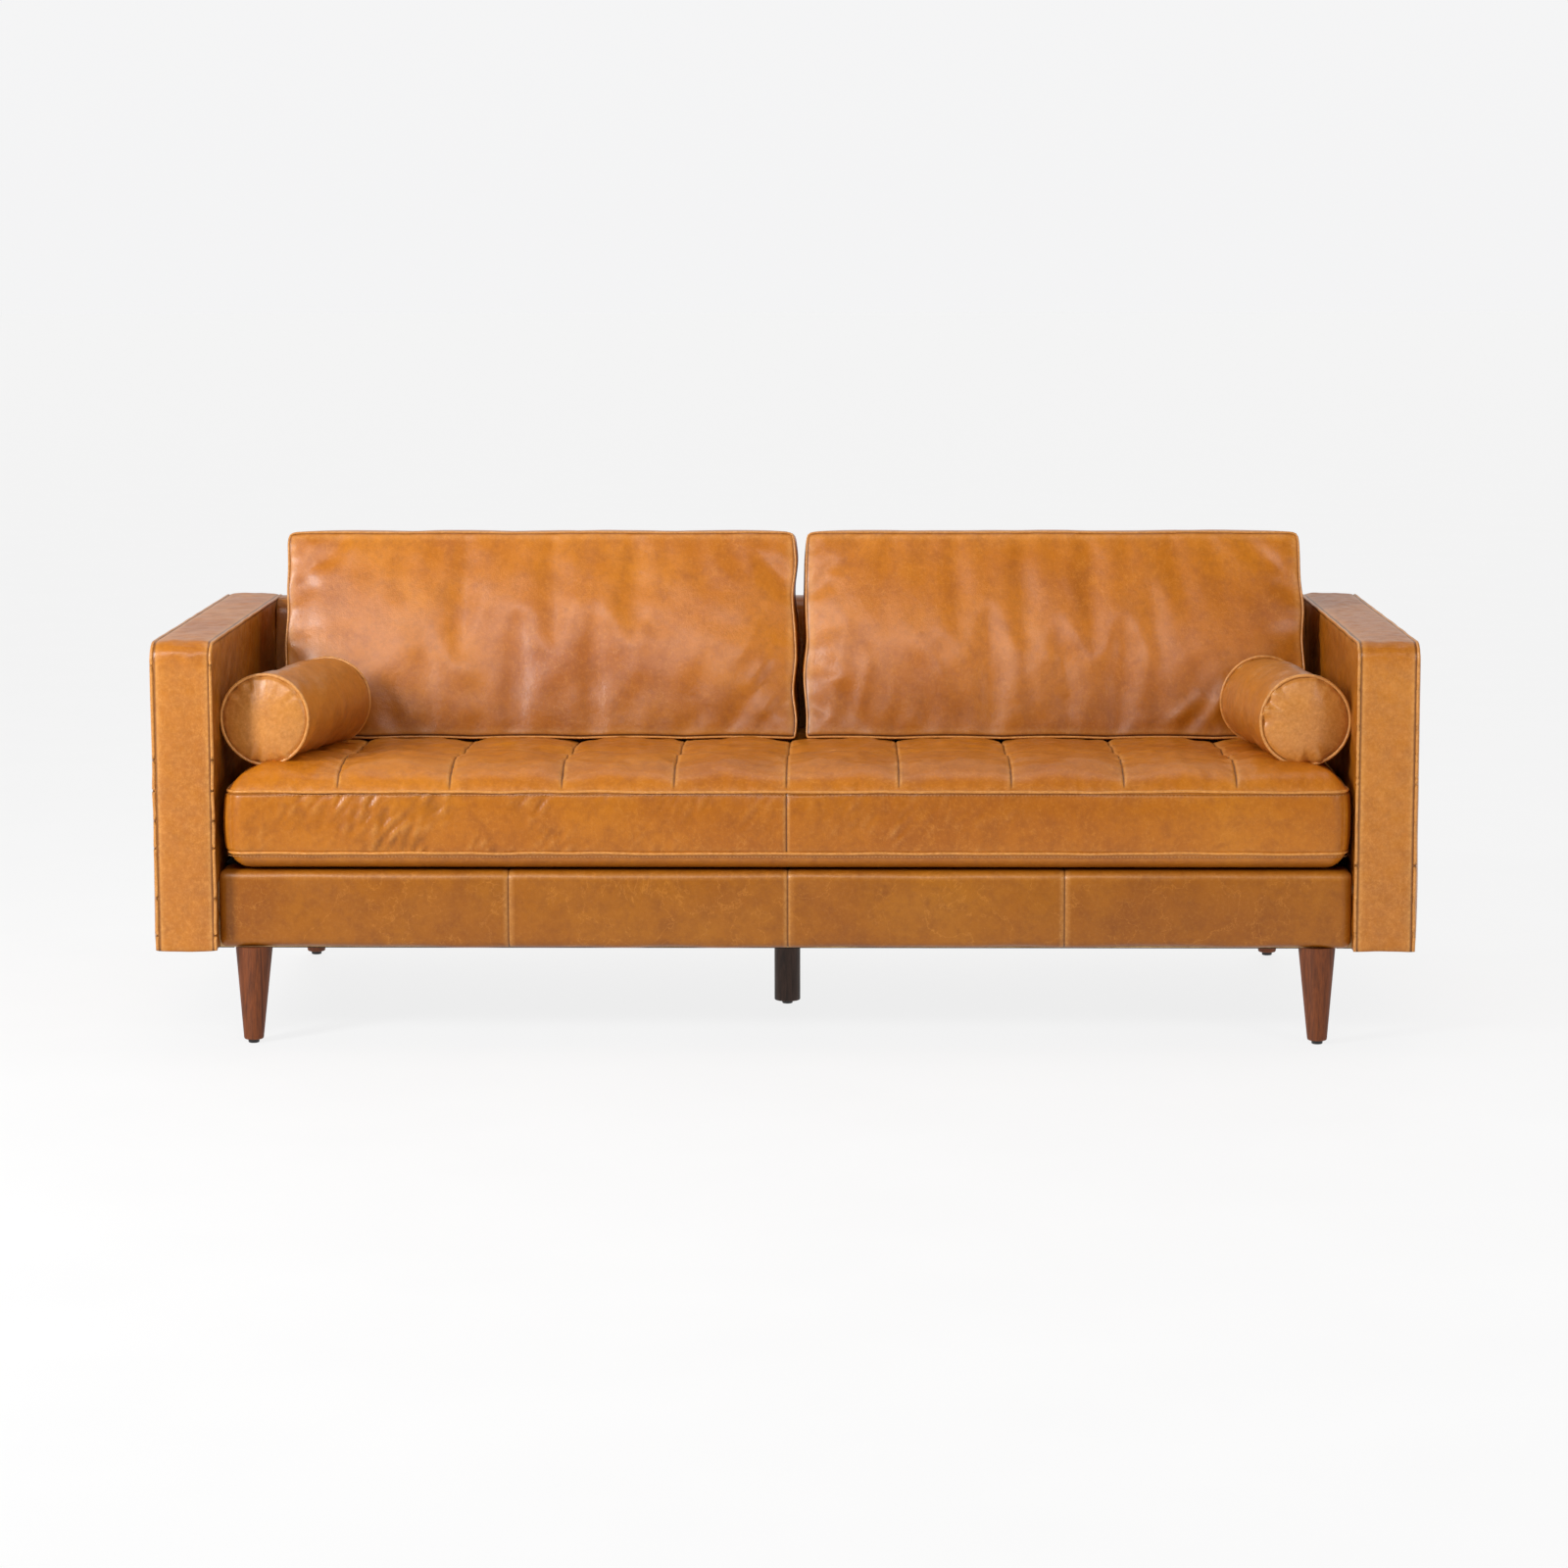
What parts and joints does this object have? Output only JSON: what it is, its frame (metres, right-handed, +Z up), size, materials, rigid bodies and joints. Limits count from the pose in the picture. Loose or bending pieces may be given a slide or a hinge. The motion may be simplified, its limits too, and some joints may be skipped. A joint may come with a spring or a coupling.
{
  "type": "sofa",
  "caption": "Leather sofa with box arms, a tufted bench seat cushion, loose back cushions, round bolsters and tapered wooden legs.",
  "frame": {"origin": "on the floor, at the middle of the sofa's width and depth", "axes": "+X along the width, to the right as seen from the front; +Y from the front to the back; +Z up"},
  "size_m": [2.235, 0.96, 0.8617],
  "materials": {
    "leather": "satin",
    "walnut": "satin",
    "dark_wood": "satin",
    "timber": "matte",
    "steel": "satin",
    "nylon": "matte",
    "foam": "matte",
    "cloth": "matte"
  },
  "bodies": {
    "frame": {"leg_front_left": "walnut", "leg_bolt_front_left": "steel", "glide_front_left": "nylon", "corner_block_front_left": "timber", "leg_front_right": "walnut", "leg_bolt_front_right": "steel", "glide_front_right": "nylon", "corner_block_front_right": "timber", "leg_rear_left": "walnut", "leg_bolt_rear_left": "steel", "glide_rear_left": "nylon", "corner_block_rear_left": "timber", "leg_rear_right": "walnut", "leg_bolt_rear_right": "steel", "glide_rear_right": "nylon", "corner_block_rear_right": "timber", "leg_centre": "dark_wood", "leg_bolt_centre": "steel", "glide_centre": "nylon", "rail_front": "timber", "rail_rear": "timber", "rail_side_left": "timber", "rail_side_right": "timber", "rail_centre": "timber", "seat_spring_left_1": "steel", "seat_spring_left_2": "steel", "seat_spring_left_3": "steel", "seat_spring_left_4": "steel", "arm_cover_left": "leather", "arm_post_front_left": "timber", "arm_post_rear_left": "timber", "arm_rail_top_left": "timber", "seat_spring_right_1": "steel", "seat_spring_right_2": "steel", "seat_spring_right_3": "steel", "seat_spring_right_4": "steel", "arm_cover_right": "leather", "arm_post_front_right": "timber", "arm_post_rear_right": "timber", "arm_rail_top_right": "timber", "deck_cloth": "cloth", "dust_cover": "cloth", "back_cover": "leather", "back_upright_left": "timber", "back_upright_centre": "timber", "back_upright_right": "timber", "back_rail_top": "timber", "front_rail_cover": "leather"},
    "seat_cushion": {"seat_cushion_cover": "leather", "seat_cushion_core": "foam"},
    "back_cushion_left": {"back_cushion_left_cover": "leather", "back_cushion_left_core": "foam"},
    "back_cushion_right": {"back_cushion_right_cover": "leather", "back_cushion_right_core": "foam"},
    "bolster_left": {"bolster_left_cover": "leather", "bolster_left_core": "foam"},
    "bolster_right": {"bolster_right_cover": "leather", "bolster_right_core": "foam"}
  },
  "joints": [
    {"name": "seat_cushion_lift", "type": "slide", "parent": "frame", "child": "seat_cushion", "axis": [0, 0, 1], "range_m": [0, 0.42]},
    {"name": "back_cushion_left_lift", "type": "slide", "parent": "seat_cushion", "child": "back_cushion_left", "axis": [0, 0, 1], "range_m": [0, 0.3]},
    {"name": "back_cushion_right_lift", "type": "slide", "parent": "seat_cushion", "child": "back_cushion_right", "axis": [0, 0, 1], "range_m": [0, 0.3]},
    {"name": "bolster_left_lift", "type": "slide", "parent": "seat_cushion", "child": "bolster_left", "axis": [0, 0, 1], "range_m": [0, 0.3]},
    {"name": "bolster_right_lift", "type": "slide", "parent": "seat_cushion", "child": "bolster_right", "axis": [0, 0, 1], "range_m": [0, 0.3]}
  ]
}
